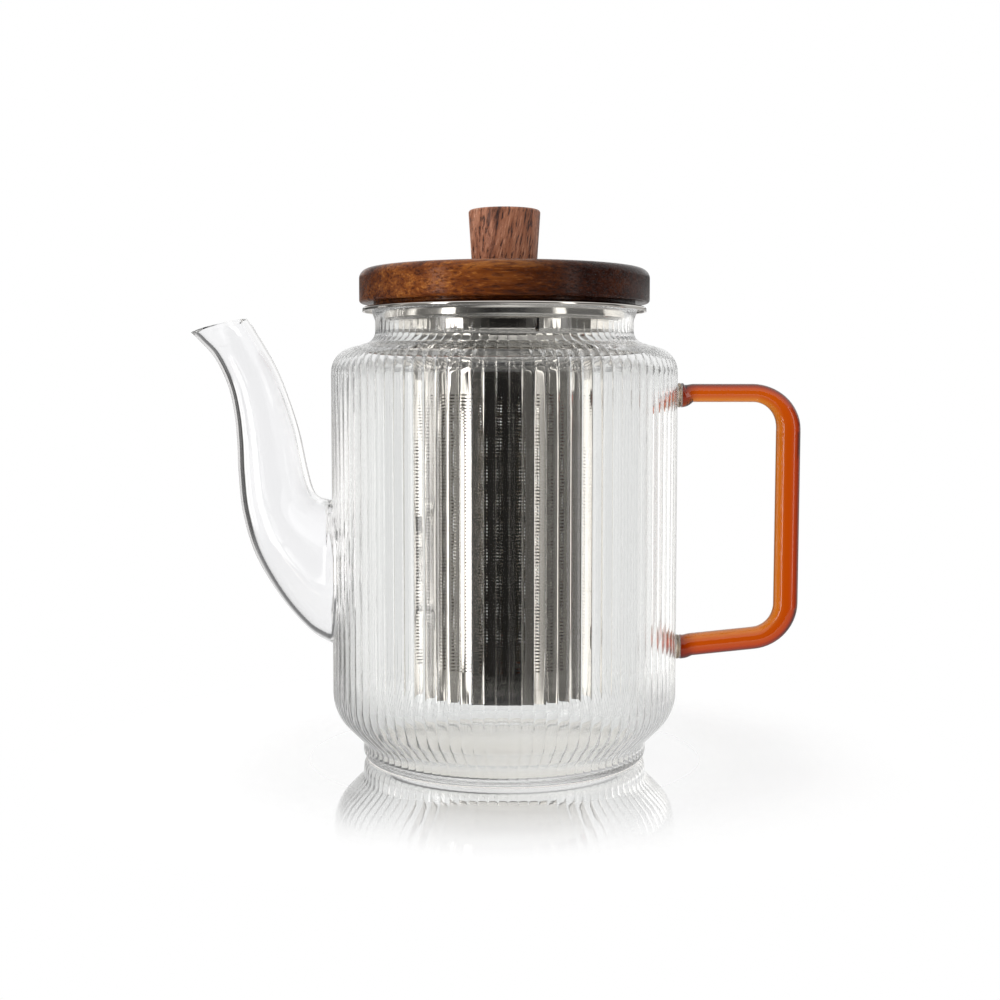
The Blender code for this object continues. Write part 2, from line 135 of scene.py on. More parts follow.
ROD_RADIUS_TOP = 0.0029
ROD_RADIUS_GRIP = 0.0039
ROD_RADIUS_BOTTOM = 0.0036
ROD_END_RADIUS = 0.0039
ROD_END_TAPER = 0.0032
ROD_END_SAG = 0.0007  # each end sits this much lower than its bar
ROD_BEND_RADIUS = 0.0115
ROD_SIDES = 40
ROD_STEP = 0.0012  # distance between rings along the rod
HANDLE_TOP_HEIGHT = 0.1168
HANDLE_BOTTOM_HEIGHT = 0.0358
HANDLE_BOTTOM_RISE = 0.0032
HANDLE_REACH = 0.03585  # from the pot's side to the middle of the grip
GRIP_LEAN = 0.0003  # the grip leans in this much towards its lower end
PAD_RADIUS = 0.0039
PAD_FILLET = 0.0003
PAD_SIDES = 64

SHEET = 0.0005
SLEEVE_SHEET = 0.0003  # the pierced sheet is thinner than the pressed ones
FLANGE_CURL = 0.0009
CUP_RADIUS = 0.0383
CUP_DEPTH = 0.0043
CUP_FILLET = 0.0015
COLLAR_FILLET = 0.001
BASE_SKIRT = 0.0025
BASE_FILLET = 0.0008
SEAM_BEARING = 16.7  # of the collar's seam, in degrees round from the front towards the handle
SEAM_WIDTH = 0.0006

HOLE_COLUMNS = 129  # odd, so that no two holes face each other across the tube
HOLE_ROWS = 82
HOLE_RADIUS = 0.00025
HOLE_SIDES = 8
HOLES_FROM = 0.0315
HOLES_TO = 0.1172
FIRST_COLUMN = 0.25  # bearing of the first column, as a share of the pitch
SLEEVE_PANELS = 3

LID_TOP_FILLET = 0.003
LID_BOTTOM_FILLET = 0.001
LID_STEP = 0.0009
LID_STEP_INSET = 0.0045
PLUG_DEPTH = 0.0036
PLUG_RADIUS = 0.0342
PLUG_LIP = 0.0008
PLUG_LIP_WIDTH = 0.0012
PLUG_FILLET = 0.0002
SCREW_HOLE_RADIUS = 0.00205
SCREW_RECESS_DEPTH = 0.0025
KNOB_BASE_RADIUS = 0.01025
KNOB_FILLET = 0.0009
KNOB_BASE_FILLET = 0.0003
KNOB_SIDES = 96
GAP = 0.0003  # between the screw and the wood

TURN_SIDES = 192
SHEET_ARC_STEP = 0.0002  # longest chords of rounded corners
LID_ARC_STEP = 0.0003
KNOB_ARC_STEP = 0.0002
PAD_ARC_STEP = 0.0001
SHARP_ANGLE = 35  # degrees: flatter edges are shaded smooth
FILLET_SHARE = 0.49  # the most of a straight side that the fillet at its end takes up
ON_AXIS = 1e-7  # a smaller radius is a point on the axis

# ---- Node trees


class Field:
    """A value in a node tree, which takes sums as a plain number does."""

    def __init__(self, tree, socket):
        self.tree = tree
        self.socket = socket

    def math(self, operation, *others):
        inputs = dict(enumerate((self, *others)))
        made = node(self.tree, "ShaderNodeMath", inputs, operation=operation)
        return Field(self.tree, made.outputs[0])

    def __add__(self, other):
        return self.math("ADD", other)

    def __sub__(self, other):
        return self.math("SUBTRACT", other)

    def __mul__(self, other):
        return self.math("MULTIPLY", other)

    def __truediv__(self, other):
        return self.math("DIVIDE", other)

    def ramp(self, start, end, low=0.0, high=1.0, smooth=True):
        """The value as it goes from start to end, mapped from low to high."""
        made = node(
            self.tree,
            "ShaderNodeMapRange",
            {0: self, 1: start, 2: end, 3: low, 4: high},
            interpolation_type="SMOOTHSTEP" if smooth else "LINEAR",
        )
        return Field(self.tree, made.outputs[0])


def feed(tree, socket, value):
    """Links a value into a socket, or sets it there."""
    if isinstance(value, Field):
        value = value.socket
    if isinstance(value, bpy.types.NodeSocket):
        tree.links.new(value, socket)
    else:
        socket.default_value = value


def node(tree, kind, inputs=None, **settings):
    """A new node with its settings, and with its inputs fed by name or by number."""
    made = tree.nodes.new(kind)
    for name, value in settings.items():
        setattr(made, name, value)
    for name, value in (inputs or {}).items():
        feed(tree, made.inputs[name], value)
    return made


def parts_of(tree, vector):
    """The X, Y and Z of a vector as fields."""
    made = node(tree, "ShaderNodeSeparateXYZ", {0: vector})
    return [Field(tree, socket) for socket in made.outputs]


def vector_of(tree, x, y, z):
    """A vector from three fields or numbers."""
    return node(tree, "ShaderNodeCombineXYZ", {0: x, 1: y, 2: z}).outputs[0]


# ---- Meshes


def rounded(corners, step, closed=False):
    """The line through (x, z, fillet) corners, with an arc in place of each filleted corner."""
    points = []
    last = len(corners) - 1
    for i, (x, z, fillet) in enumerate(corners):
        corner = Vector((x, z))
        if not fillet or (not closed and i in (0, last)):
            points.append(corner)
            continue
        to_previous = Vector(corners[i - 1][:2]) - corner
        to_next = Vector(corners[(i + 1) % len(corners)][:2]) - corner
        half_angle = to_previous.angle(to_next) / 2
        longest = FILLET_SHARE * min(to_previous.length, to_next.length)
        tangent = min(fillet / math.tan(half_angle), longest)
        radius = tangent * math.tan(half_angle)
        middle = (to_previous.normalized() + to_next.normalized()).normalized()
        centre = corner + middle * radius / math.sin(half_angle)
        start = corner + to_previous.normalized() * tangent - centre
        end = corner + to_next.normalized() * tangent - centre
        sweep = start.angle_signed(end)
        steps = max(3, math.ceil(abs(sweep) * radius / step))
        for k in range(steps + 1):
            turn = -sweep * k / steps
            cos, sin = math.cos(turn), math.sin(turn)
            arm = Vector((start.x * cos - start.y * sin, start.x * sin + start.y * cos))
            points.append(centre + arm)
    return points


def inset(corners, wall):
    """The corners of the line that lies inside this one by the wall, with its arcs concentric."""
    spots = [Vector(corner[:2]) for corner in corners]
    normals = []
    for a, b in zip(spots, spots[1:]):
        along = (b - a).normalized()
        normals.append(Vector((along.y, -along.x)))
    result = [(*(spots[0] + normals[0] * wall), corners[0][2])]
    for i in range(1, len(spots) - 1):
        before, after = normals[i - 1], normals[i]
        shift = (before + after) * wall / (1 + before.dot(after))
        bend = before.x * after.y - before.y * after.x
        fillet = corners[i][2]
        if fillet:
            fillet = max(fillet + math.copysign(wall, bend), 0)
        result.append((*(spots[i] + shift), fillet))
    result.append((*(spots[-1] + normals[-1] * wall), corners[-1][2]))
    return result


def divided(points, longest):
    """The same line with no piece longer than this."""
    result = [points[0]]
    for a, b in zip(points, points[1:]):
        pieces = max(1, math.ceil((b - a).length / longest - 1e-6))
        result += [a.lerp(b, k / pieces) for k in range(1, pieces + 1)]
    return result


def turned(name, points, sides=TURN_SIDES, closed=False, turns=None):
    """A mesh turned about Z from (radius, height) points. A point on the axis is a pole."""
    form = bmesh.new()
    turns = turns or [math.tau * i / sides for i in range(sides)]
    sides = len(turns)
    rings = []
    for point in points:
        if point.x < ON_AXIS:
            rings.append([form.verts.new((0, 0, point.y))] * sides)
            continue
        ring = []
        for turn in turns:
            place = (point.x * math.cos(turn), point.x * math.sin(turn), point.y)
            ring.append(form.verts.new(place))
        rings.append(ring)
    if closed:
        rings.append(rings[0])
    for here, after in zip(rings, rings[1:]):
        for i in range(sides):
            k = (i + 1) % sides
            corners = list(dict.fromkeys((here[i], here[k], after[k], after[i])))
            if len(corners) > 2:
                form.faces.new(corners)
    return finished(name, form)


def loft(name, rings, closed=False, caps=False):
    """A mesh through rings of equal length."""
    form = bmesh.new()
    loops = [[form.verts.new(point) for point in ring] for ring in rings]
    pairs = list(zip(loops, loops[1:]))
    if closed:
        pairs.append((loops[-1], loops[0]))
    for here, after in pairs:
        for i in range(len(here)):
            k = (i + 1) % len(here)
            form.faces.new((here[i], here[k], after[k], after[i]))
    if caps:
        form.faces.new(loops[0])
        form.faces.new(loops[-1])
    return finished(name, form)


def finished(name, form):
    """The form as a mesh with its faces pointing out."""
    bmesh.ops.recalc_face_normals(form, faces=form.faces)
    mesh = bpy.data.meshes.new(name)
    form.to_mesh(mesh)
    form.free()
    return mesh


def smoothed(mesh, sharp=SHARP_ANGLE):
    """Shades a mesh smooth but for edges sharper than this many degrees."""
    mesh.shade_smooth()
    mesh.set_sharp_from_angle(angle=math.radians(sharp))


def coated(mesh, coat):
    """Makes this the mesh's one material."""
    mesh.materials.clear()
    mesh.materials.append(coat)


def linked(name, data):
    """A new object in the scene."""
    obj = bpy.data.objects.new(name, data)
    bpy.context.scene.collection.objects.link(obj)
    return obj


def placed(name, mesh, coat, sharp=SHARP_ANGLE):
    """An object with this mesh and this material, smooth but for its sharp edges."""
    coated(mesh, coat)
    smoothed(mesh, sharp)
    return linked(name, mesh)


def applied(obj):
    """Turns the object's modifiers into a plain mesh."""
    bpy.context.view_layer.update()
    graph = bpy.context.evaluated_depsgraph_get()
    mesh = bpy.data.meshes.new_from_object(obj.evaluated_get(graph))
    mesh.name = obj.name
    obj.modifiers.clear()
    obj.data = mesh


def cut_out(obj, cutter):
    """Takes the shape of a mesh out of a closed piece."""
    smoothed(cutter)
    tool = linked("cutter", cutter)
    cut = obj.modifiers.new("cut", "BOOLEAN")
    cut.object = tool
    cut.operation = "DIFFERENCE"
    cut.solver = "EXACT"
    coat = obj.data.materials[0]
    applied(obj)
    coated(obj.data, coat)
    bpy.data.objects.remove(tool)
    smoothed(obj.data)


def hand_over(obj, body, slot, *nodes):
    """Gives a finished piece its body and hides the model's nodes that it stands for. The slot is
    not used.
    """
    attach(obj, body)
    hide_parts(*nodes)


# ---- Geometry node trees


def geometry_tree(name, sizes):
    """An empty geometry tree with named inputs, its input geometry and its sizes as fields."""
    tree = bpy.data.node_groups.new(name, "GeometryNodeTree")
    tree.interface.new_socket("Geometry", in_out="INPUT", socket_type="NodeSocketGeometry")
    for label, value in sizes.items():
        kind = "NodeSocketInt" if isinstance(value, int) else "NodeSocketFloat"
        tree.interface.new_socket(label, in_out="INPUT", socket_type=kind)
    tree.interface.new_socket("Material", in_out="INPUT", socket_type="NodeSocketMaterial")
    tree.interface.new_socket("Geometry", in_out="OUTPUT", socket_type="NodeSocketGeometry")
    source = node(tree, "NodeGroupInput")
    fields = {label: Field(tree, source.outputs[label]) for label in sizes}
    return tree, source, fields


def end_tree(tree, source, geometry):
    """Ends a tree in Realize Instances and Set Material."""
    real = node(tree, "GeometryNodeRealizeInstances", {"Geometry": geometry})
    inputs = {"Geometry": real.outputs[0], "Material": source.outputs["Material"]}
    coat = node(tree, "GeometryNodeSetMaterial", inputs)
    node(tree, "NodeGroupOutput", {"Geometry": coat.outputs[0]})


def grown(obj, tree, sizes, coat):
    """Runs a geometry tree with these sizes on the object and keeps the mesh that it makes."""
    modifier = obj.modifiers.new(tree.name, "NODES")
    modifier.node_group = tree
    for item in tree.interface.items_tree:
        if item.in_out == "INPUT" and item.name in sizes:
            modifier[item.identifier] = sizes[item.name]
        elif item.in_out == "INPUT" and item.name == "Material":
            modifier[item.identifier] = coat
    applied(obj)


def rib_tree(sizes):
    """Presses upright ribs into the outer side of a turned wall."""
    tree, source, size = geometry_tree("upright_ribs", sizes)
    place = node(tree, "GeometryNodeInputPosition").outputs[0]
    x, y, z = parts_of(tree, place)
    turn = (y.math("ARCTAN2", x) - size["Valley Bearing"]) * size["Ribs"]
    across = (turn / 2).math("SINE").math("POWER", 2)
    ease = size["Valley"] * size["Valley"]
    dome = (ease + 1).math("SQRT") - (across + ease).math("SQRT")
    narrow = size["Groove Width"] * size["Groove Width"]
    groove = narrow / (across + narrow)
    above_neck, below_neck = SWELL_NECK_FADE
    curved = z.ramp(size["Wall Top"] - SWELL_WALL_FADE, size["Wall Top"])
    curved = curved * z.ramp(size["Neck Base"] + above_neck, size["Neck Base"] + below_neck)
    curved = curved + z.ramp(size["Wall Foot"] + SWELL_WALL_FADE, size["Wall Foot"])
    swell = curved * (size["Swell"] - 1) + 1
    outside = node(tree, "GeometryNodeInputNamedAttribute", {"Name": "outside"}, data_type="FLOAT")
    outside = Field(tree, outside.outputs["Attribute"])
    below = z.ramp(size["Top"], size["Top"] - size["Top Fade"])
    above = z.ramp(size["Foot"], size["Foot"] + size["Foot Fade"])
    away = (x * x + y * y).math("SQRT") / size["Radius"]
    fade = below * above * away * swell * outside * -1
    sunk = (dome * size["Depth"] + groove * size["Groove"]) * fade
    normal = node(tree, "GeometryNodeInputNormal").outputs[0]
    shift = node(tree, "ShaderNodeVectorMath", {0: normal, "Scale": sunk}, operation="SCALE")
    inputs = {"Geometry": source.outputs["Geometry"], "Offset": shift.outputs[0]}
    end_tree(tree, source, node(tree, "GeometryNodeSetPosition", inputs).outputs[0])
    return tree


def pierced_tree(sizes):
    """Sets out pierced cells with plain sheet above and below them, and rolls it up.

    The cell lies in the XZ plane, with its lower edge on the X axis and its hole in the middle.
    """
    tree, source, size = geometry_tree("pierced_sheet", sizes)
    pitch, rise = size["Column Pitch"], size["Row Pitch"]
    columns, rows = size["Columns"], size["Rows"]

    def set_out(points, cell, base, stretch):
        x, y, _ = parts_of(tree, node(tree, "GeometryNodeInputPosition").outputs[0])
        place = vector_of(tree, x, 0, y + base)
        spread = node(tree, "GeometryNodeSetPosition", {"Geometry": points, "Position": place})
        scale = vector_of(tree, 1, 1, stretch)
        inputs = {"Points": spread.outputs[0], "Instance": cell, "Scale": scale}
        return node(tree, "GeometryNodeInstanceOnPoints", inputs).outputs[0]

    def grid(width, height, across, up, shift, turn=(0, 0, 0)):
        inputs = {"Size X": width, "Size Y": height, "Vertices X": across, "Vertices Y": up}
        flat = node(tree, "GeometryNodeMeshGrid", inputs).outputs[0]
        inputs = {"Geometry": flat, "Translation": shift, "Rotation": turn}
        return node(tree, "GeometryNodeTransform", inputs).outputs[0]

    width, height = pitch * (columns - 1), rise * (rows - 1)
    corner = vector_of(tree, width / 2, height / 2, 0)
    places = grid(width, height, columns, rows, corner)
    plain = grid(pitch, 1, 3, 2, (0, 0, 0.5), (math.pi / 2, 0, 0))
    step = vector_of(tree, pitch, 0, 0)
    line = node(tree, "GeometryNodeMeshLine", {"Count": columns, "Offset": step}).outputs[0]
    holes_end = size["Holes From"] + rise * rows
    pieces = (
        set_out(places, source.outputs["Geometry"], size["Holes From"], 1),
        set_out(line, plain, size["Bottom"], size["Holes From"] - size["Bottom"]),
        set_out(line, plain, holes_end, size["Top"] - holes_end),
    )
    join = node(tree, "GeometryNodeJoinGeometry")
    for piece in pieces:
        tree.links.new(piece, join.inputs[0])
    real = node(tree, "GeometryNodeRealizeInstances", {"Geometry": join.outputs[0]})
    inputs = {"Geometry": real.outputs[0], "Distance": 1e-6}
    whole = node(tree, "GeometryNodeMergeByDistance", inputs).outputs[0]
    x, y, z = parts_of(tree, node(tree, "GeometryNodeInputPosition").outputs[0])
    radius = size["Radius"]
    bearing = x / radius + size["First Bearing"]
    place = vector_of(tree, bearing.math("COSINE") * radius, bearing.math("SINE") * radius, z)
    rolled = node(tree, "GeometryNodeSetPosition", {"Geometry": whole, "Position": place})
    end_tree(tree, source, rolled.outputs[0])
    return tree


# ---- Materials


def material(name, **values):
    """A material with one Principled shader, and its tree and shader."""
    made = bpy.data.materials.new(name)
    made.use_nodes = True
    shader = made.node_tree.nodes["Principled BSDF"]
    for label, value in values.items():
        shader.inputs[label.replace("_", " ")].default_value = value
    return made, made.node_tree, shader


def spot(tree, scale=(1, 1, 1), turn=(0, 0, 0)):
    """Object coordinates in metres, scaled and turned."""
    here = node(tree, "ShaderNodeTexCoord").outputs["Object"]
    inputs = {"Vector": here, "Scale": scale, "Rotation": turn}
    return node(tree, "ShaderNodeMapping", inputs).outputs[0]


def grain(tree, vector, scale, detail, roughness=0.5):
    """Noise from 0 to 1."""
    inputs = {"Vector": vector, "Scale": scale, "Detail": detail, "Roughness": roughness}
    return Field(tree, node(tree, "ShaderNodeTexNoise", inputs).outputs[0])


def tint(tree, factor, stops):
    """Colours along a factor, from (place, colour) stops."""
    made = node(tree, "ShaderNodeValToRGB", {0: factor})
    ramp = made.color_ramp
    ramp.elements[0].position, ramp.elements[1].position = stops[0][0], stops[-1][0]
    ramp.elements[0].color = (*stops[0][1], 1)
    ramp.elements[1].color = (*stops[-1][1], 1)
    for place, color in stops[1:-1]:
        ramp.elements.new(place).color = (*color, 1)
    return made.outputs[0]


def blended(tree, factor, first, second, mode="MIX"):
    """Two colours mixed by a factor."""
    made = node(tree, "ShaderNodeMix", {0: factor}, data_type="RGBA", blend_type=mode)
    feed(tree, made.inputs[6], first)
    feed(tree, made.inputs[7], second)
    return made.outputs[2]


def relief(tree, shader, height, distance, strength):
    """Makes the shader's surface rise and fall with a field."""
    inputs = {"Height": height, "Distance": distance, "Strength": strength}
    made = node(tree, "ShaderNodeBump", inputs)
    feed(tree, shader.inputs["Normal"], made.outputs[0])


BLOWN = (0.995, 0.995, 1.0, 1)
PRESSED = (0.90, 0.905, 0.90, 1)
PALE = (0.38, 0.29, 0.21, 1)
AMBER = (0.93, 0.80, 0.45, 1)
AMBER_DENSITY = 600  # how fast the depth of the glass takes up light, per metre
AMBER_JOINT = (0.35, 0.15, 0.1, 1)  # darkens the amber where it is fused to the pot
JOINT_FADE = (0.008, 0.001)  # from here to here beyond the pot's side
GLASS_WAVE = 0.0002  # height of the waves in drawn and blown glass
LID_PAINTED_SHADE = (-0.016, 0.026)  # between these X, painted shade darkens the lid's wood towards the handle
LID_END_PAINTED_SHADE = (-0.024, -0.046)  # and between these, by a share of it, painted shade darkens it towards the spout
LID_END_SHADE_SHARE = 0.6
# the colour that the painted shade multiplies the wood by
LID_SHADE_TINT = (0.11, 0.07, 0.09, 1)
LID_GLOSS = 0.16

ROD_PAINTED_LIGHT_AND_SHADE = (
    # colour of the rod's skin with painted light and shade, from the inner side of the bent
    # handle, painted pale, to its outer side, painted dark
    (0.0, (0.42, 0.38, 0.36)),
    (0.05, (0.90, 0.72, 0.50)),
    (0.14, (1.0, 0.74, 0.34)),
    (0.24, (0.84, 0.36, 0.08)),
    (0.34, (0.74, 0.19, 0.025)),
    (0.60, (0.74, 0.18, 0.022)),
    (0.72, (0.62, 0.10, 0.012)),
    (0.82, (0.28, 0.025, 0.005)),
    (0.92, (0.05, 0.006, 0.004)),
    (1.0, (0.02, 0.005, 0.004)),
)


def clear_glass(name, color, waviness):
    """Borosilicate glass, with the slight waves that drawing and blowing leave."""
    made, tree, shader = material(
        name, Base_Color=color, Roughness=0.0, IOR=1.47, Transmission_Weight=1.0
    )
    waves = grain(tree, spot(tree, scale=(1, 1, 0.35)), 60, detail=1)
    relief(tree, shader, waves, GLASS_WAVE, waviness)
    return made


def pale_glass():
    """The little glass that fuses the handle to the pot, stained brown by it."""
    return material(
        "pale_glass", Base_Color=PALE, Roughness=0.0, IOR=1.47, Transmission_Weight=1.0
    )[0]


def amber_glass():
    """Solid coloured glass. The colour is in the depth of the piece, and its skin carries painted
    light and shade, pale on the inner side of the bend and dark on the outer side.
    """
    made, tree, shader = material(
        "amber_glass", Base_Color=(1, 1, 1, 1), Roughness=0.0, IOR=1.5, Transmission_Weight=1.0
    )
    waves = grain(tree, spot(tree), 90, detail=1)
    relief(tree, shader, waves, GLASS_WAVE, 0.3)
    outer_side = node(tree, "ShaderNodeAttribute", attribute_name="outer side")
    outer_side = Field(tree, outer_side.outputs["Fac"]) / 2 + 0.5
    x = parts_of(tree, spot(tree))[0]
    joint = x.ramp(*(BODY_RADIUS + away for away in JOINT_FADE))
    # painted light and shade by the side of the rod: pale inside the bend, dark outside it
    color = tint(tree, outer_side, ROD_PAINTED_LIGHT_AND_SHADE)
    color = blended(tree, joint, color, AMBER_JOINT, "MULTIPLY")
    feed(tree, shader.inputs["Base Color"], color)
    depth = node(tree, "ShaderNodeVolumeAbsorption", {"Color": AMBER, "Density": AMBER_DENSITY})
    feed(tree, tree.nodes["Material Output"].inputs["Volume"], depth.outputs[0])
    return made


def polished_steel():
    """Bright rolled steel with faint upright polishing lines."""
    made, tree, shader = material("polished_steel", Metallic=1.0)
    lines = grain(tree, spot(tree, scale=(1, 1, 0.02)), 2600, detail=2)
    cloud = grain(tree, spot(tree), 70, detail=3)
    color = tint(tree, cloud, ((0.3, (0.66, 0.63, 0.585)), (0.7, (0.72, 0.69, 0.645))))
    feed(tree, shader.inputs["Base Color"], color)
    feed(tree, shader.inputs["Roughness"], lines.ramp(0.3, 0.8, 0.015, 0.035))
    relief(tree, shader, lines, 0.00001, 0.05)
    return made


def along_fibres(tree, turn, stretch):
    """Object coordinates with X turned along the fibres and drawn out."""
    inputs = {"Vector": spot(tree, turn=turn), "Scale": (stretch, 1, 1)}
    return node(tree, "ShaderNodeMapping", inputs).outputs[0]


def wood(name, turn, stops, pore, pore_depth, roughness):
    """Lacquered walnut, with streaks, growth lines and open pores along its fibres."""
    made, tree, shader = material(name, Roughness=roughness)
    streaks = grain(tree, along_fibres(tree, turn, 0.10), 75, detail=3, roughness=0.6)
    lines = grain(tree, along_fibres(tree, turn, 0.03), 420, detail=4, roughness=0.65)
    figure = (streaks * 0.55 + lines * 0.45).ramp(0.36, 0.64, smooth=False)
    fibres = grain(tree, along_fibres(tree, turn, 0.14), 1500, detail=3, roughness=0.6)
    pores = fibres.ramp(0.54, 0.64)
    ridges = fibres.ramp(0.45, 0.34)
    color = tint(tree, figure - pores * 0.15 + ridges * 0.3, stops)
    color = blended(tree, pores * pore_depth, color, pore)
    feed(tree, shader.inputs["Base Color"], color)
    relief(tree, shader, ridges * 0.5 - pores, 0.00016, 0.7)
    return made, tree, shader


def lid_walnut():
    """Walnut with painted shade: darker towards the handle, warmer towards the spout and darker
    again at that end.
    """
    stops = (
        (0.0, (0.068, 0.0155, 0.0034)),
        (0.35, (0.150, 0.036, 0.0060)),
        (0.65, (0.255, 0.072, 0.0115)),
        (1.0, (0.460, 0.170, 0.032)),
    )
    made, tree, shader = wood(
        "lid_walnut", (0, 0, 0), stops, (0.016, 0.005, 0.003, 1), pore_depth=0.35, roughness=0.17
    )
    shader.inputs["Specular IOR Level"].default_value = LID_GLOSS
    x = parts_of(tree, spot(tree))[0]
    # painted shade by X: darker towards the handle and towards the end at the spout
    dark = x.ramp(*LID_PAINTED_SHADE) + x.ramp(*LID_END_PAINTED_SHADE) * LID_END_SHADE_SHARE
    color = shader.inputs["Base Color"].links[0].from_socket
    color = blended(tree, dark, color, LID_SHADE_TINT, "MULTIPLY")
    feed(tree, shader.inputs["Base Color"], color)
    return made


def knob_walnut():
    """Redder wood with open pores, and with its fibres nearly upright."""
    stops = (
        (0.0, (0.090, 0.022, 0.008)),
        (0.4, (0.350, 0.120, 0.052)),
        (0.75, (0.540, 0.230, 0.125)),
        (1.0, (0.780, 0.450, 0.310)),
    )
    turn = (0, math.radians(78), 0)
    return wood(
        "knob_walnut", turn, stops, (0.030, 0.010, 0.008, 1), pore_depth=0.85, roughness=0.42
    )[0]


def seal_silicone():
    """Dull brown rubber."""
    made, tree, shader = material("seal_silicone", Roughness=0.5)
    cloud = grain(tree, spot(tree), 300, detail=2)
    color = tint(tree, cloud, ((0.3, (0.055, 0.022, 0.018)), (0.7, (0.075, 0.032, 0.026))))
    feed(tree, shader.inputs["Base Color"], color)
    return made


# ---- Glass pieces


def ribbed_body(glass):
    """The pot: a wall with upright ribs outside, from the foot to just under the lip."""
    ring = FOOT_RADIUS - FOOT_FILLET - FOOT_RING_WIDTH
    outer = (
        (RIM_RADIUS, RIM_HEIGHT, RIM_FILLET),
        (NECK_RADIUS, RIM_HEIGHT - LIP_DEPTH, LIP_FILLET),
        (NECK_RADIUS, NECK_BASE_HEIGHT, NECK_FILLET),
        (BODY_RADIUS, SHOULDER_HEIGHT, SHOULDER_FILLET),
        (BODY_RADIUS, HEEL_HEIGHT, HEEL_FILLET),
        (FOOT_RADIUS, FOOT_HEIGHT, COVE_FILLET),
        (FOOT_RADIUS, 0, FOOT_FILLET),
        (0, 0, 0),
    )
    inner = inset(outer, BODY_WALL)
    inner[0] = (inner[0][0], RIM_HEIGHT, RIM_FILLET)
    inner[2] = (inner[2][0], *NECK_BASE_INSIDE)
    inner[3] = (inner[3][0], *SHOULDER_INSIDE)
    outer_line = divided(rounded(outer, OUTER_ARC_STEP), OUTER_LINE_STEP)
    inner_line = rounded([*reversed(inner), outer[0]], INNER_ARC_STEP)[:-1]
    inner_line = divided(inner_line, INNER_LINE_STEP)
    for point in outer_line:
        if point.y < 1e-6 and point.x < ring:
            point.y = PUSH_UP * (1 - (point.x / ring) ** 2)
    profile = inner_line + outer_line
    valley = math.radians(RIB_PHASE - 90)
    turns = []
    for rib in range(RIB_COUNT):
        turns += [valley + math.tau * (rib + step) / RIB_COUNT for step in RIB_STEPS]
    mesh = turned("ribbed_body", profile, turns=turns)
    outside = mesh.attributes.new("outside", "FLOAT", "POINT")
    first_outer = sum(1 if point.x < ON_AXIS else len(turns) for point in inner_line)
    for i, item in enumerate(outside.data):
        item.value = float(i >= first_outer)
    body = placed("ribbed_body", mesh, glass)
    sizes = {
        "Ribs": RIB_COUNT,
        "Depth": RIB_DEPTH,
        "Radius": BODY_RADIUS,
        "Valley": RIB_VALLEY,
        "Groove": RIB_GROOVE,
        "Groove Width": RIB_GROOVE_WIDTH,
        "Swell": RIB_SWELL,
        "Wall Top": SHOULDER_HEIGHT - SHOULDER_FILLET / 2,
        "Neck Base": NECK_BASE_HEIGHT,
        "Wall Foot": HEEL_HEIGHT + HEEL_FILLET / 4,
        "Valley Bearing": valley,
        "Top": RIB_TOP,
        "Top Fade": RIB_TOP_FADE,
        "Foot": RIB_FOOT,
        "Foot Fade": RIB_FOOT_FADE,
    }
    grown(body, rib_tree(sizes), sizes, glass)
    port = []
    for x in (-BODY_RADIUS - BODY_WALL, -BODY_RADIUS + 3 * BODY_WALL):
        ring = []
        for i in range(PORT_SIDES):
            turn = math.tau * i / PORT_SIDES
            y, z = PORT_RADIUS * math.cos(turn), PORT_RADIUS * math.sin(turn)
            ring.append((x, y, PORT_HEIGHT + z))
        port.append(ring)
    cut_out(body, loft("port", port, caps=True))
    hand_over(body, "pot", "clear_glass", "glass_body")


def between(knots, steps):
    """Rows of numbers along a smooth line (Catmull-Rom) through the rows given."""
    rows = []
    for i in range(len(knots) - 1):
        a = knots[max(i - 1, 0)]
        b, c = knots[i], knots[i + 1]
        d = knots[min(i + 2, len(knots) - 1)]
        for step in range(steps):
            t = step / steps
            rows.append(
                tuple(
                    q
                    + t * (r - p) / 2
                    + t * t * (p - 2.5 * q + 2 * r - s / 2)
                    + t * t * t * (-p + 3 * q - 3 * r + s) / 2
                    for p, q, r, s in zip(a, b, c, d)
                )
            )
    rows.append(tuple(knots[-1]))
    return rows


def spout_ring(section, wall):
    """One oval section of the spout, drawn in from its edges by the wall."""
    upper = Vector((-BODY_RADIUS - section[0], section[1]))
    lower = Vector((-BODY_RADIUS - section[2], section[3]))
    half = (upper - lower) / 2
    half -= half.normalized() * wall
    middle = (upper + lower) / 2
    ring = []
    for i in range(SPOUT_SIDES):
        turn = math.tau * i / SPOUT_SIDES
        place = middle + half * math.cos(turn)
        ring.append(Vector((place.x, (section[4] - wall) * math.sin(turn), place.y)))
    return ring


def on_pot(ring):
    """The ring laid on the round side of the pot."""
    return [Vector((-math.sqrt(BODY_RADIUS**2 - p.y**2), p.y, p.z)) for p in ring]


def curved_spout(glass):
    """The S-shaped tube with a fire-rounded mouth, thick where it is fused to the pot."""
    sections = between(SPOUT_SECTIONS, SPOUT_SPAN_STEPS)
    thick_from = len(sections) - SPOUT_WELD_SPANS * SPOUT_SPAN_STEPS
    walls = []
    for i in range(len(sections)):
        share = max(0, i - thick_from) / (len(sections) - 1 - thick_from)
        walls.append(SPOUT_WALL + (SPOUT_WELD - SPOUT_WALL) * share**2)
    outer = [spout_ring(section, 0) for section in sections]
    inner = [spout_ring(section, wall) for section, wall in zip(sections, walls)]
    rings = outer[:-1] + [on_pot(outer[-1]), on_pot(inner[-1])] + inner[-2::-1]
    spout = placed("curved_spout", loft("curved_spout", rings, closed=True), glass, sharp=60)
    hand_over(spout, "pot", "clear_glass", "spout")


def smooth_step(value, start, end):
    """Goes smoothly from 0 to 1 as the value goes from start to end."""
    share = min(max((value - start) / (end - start), 0), 1)
    return share * share * (3 - 2 * share)


